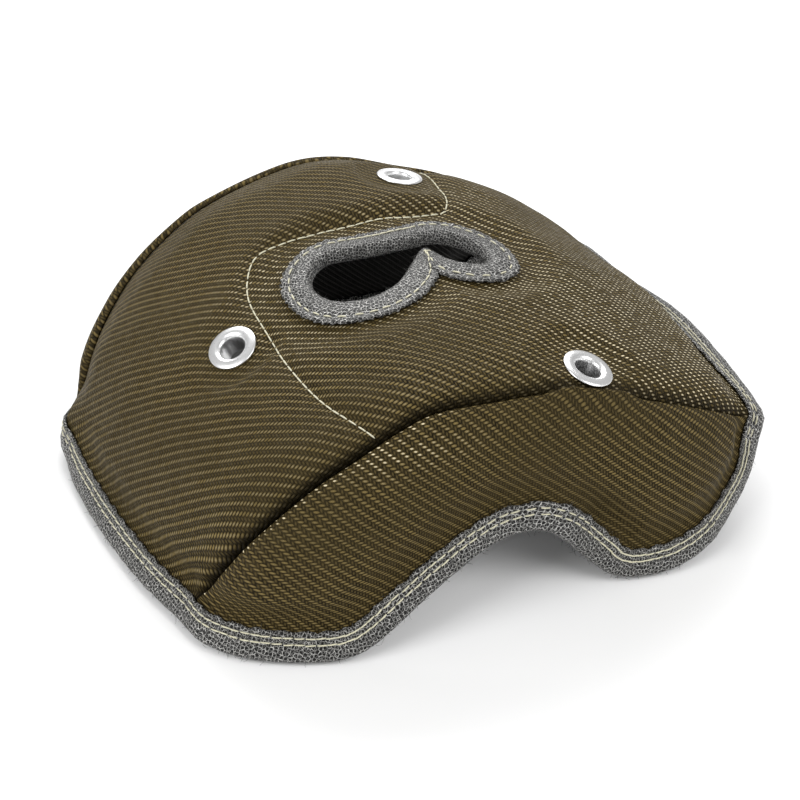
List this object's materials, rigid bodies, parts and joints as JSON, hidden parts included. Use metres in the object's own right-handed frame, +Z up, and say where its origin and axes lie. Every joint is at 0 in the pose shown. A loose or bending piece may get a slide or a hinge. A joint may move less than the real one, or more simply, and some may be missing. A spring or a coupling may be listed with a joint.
{
  "type": "turbo heat blanket",
  "caption": "Padded dome-shaped heat blanket for a turbine housing, open underneath, with a two-lobed bound opening on top, an arched front hem and metal eyelets for tie wires.",
  "frame": {"origin": "centre of the bounding box in plan, on the floor the rim rests on", "axes": "+X along the front feet, from the low left hem to the raised right hem; the arched front band faces -Y; +Z up through the two-lobed opening"},
  "size_m": [0.2474, 0.2204, 0.0971],
  "materials": {
    "basalt_cloth": "satin",
    "needled_pad": "matte",
    "liner_cloth": "matte",
    "wire_tape": "satin",
    "sewing_thread": "matte",
    "eyelet_metal": "polished"
  },
  "bodies": {
    "root": {"face_outer_panel": "basalt_cloth", "front_band_outer_panel": "basalt_cloth", "back_band_outer_panel": "basalt_cloth", "face_insulation": "needled_pad", "front_band_insulation": "needled_pad", "back_band_insulation": "needled_pad", "face_liner": "liner_cloth", "front_band_liner": "liner_cloth", "back_band_liner": "liner_cloth", "rim_binding": "wire_tape", "opening_binding": "wire_tape", "rim_stitch_outer": "sewing_thread", "rim_stitch_inner": "sewing_thread", "opening_stitch": "sewing_thread", "quilt_stitch": "sewing_thread", "eyelet_left": "eyelet_metal", "eyelet_top": "eyelet_metal", "eyelet_right": "eyelet_metal", "eyelet_washer_left": "eyelet_metal", "eyelet_washer_top": "eyelet_metal", "eyelet_washer_right": "eyelet_metal"}
  },
  "joints": []
}
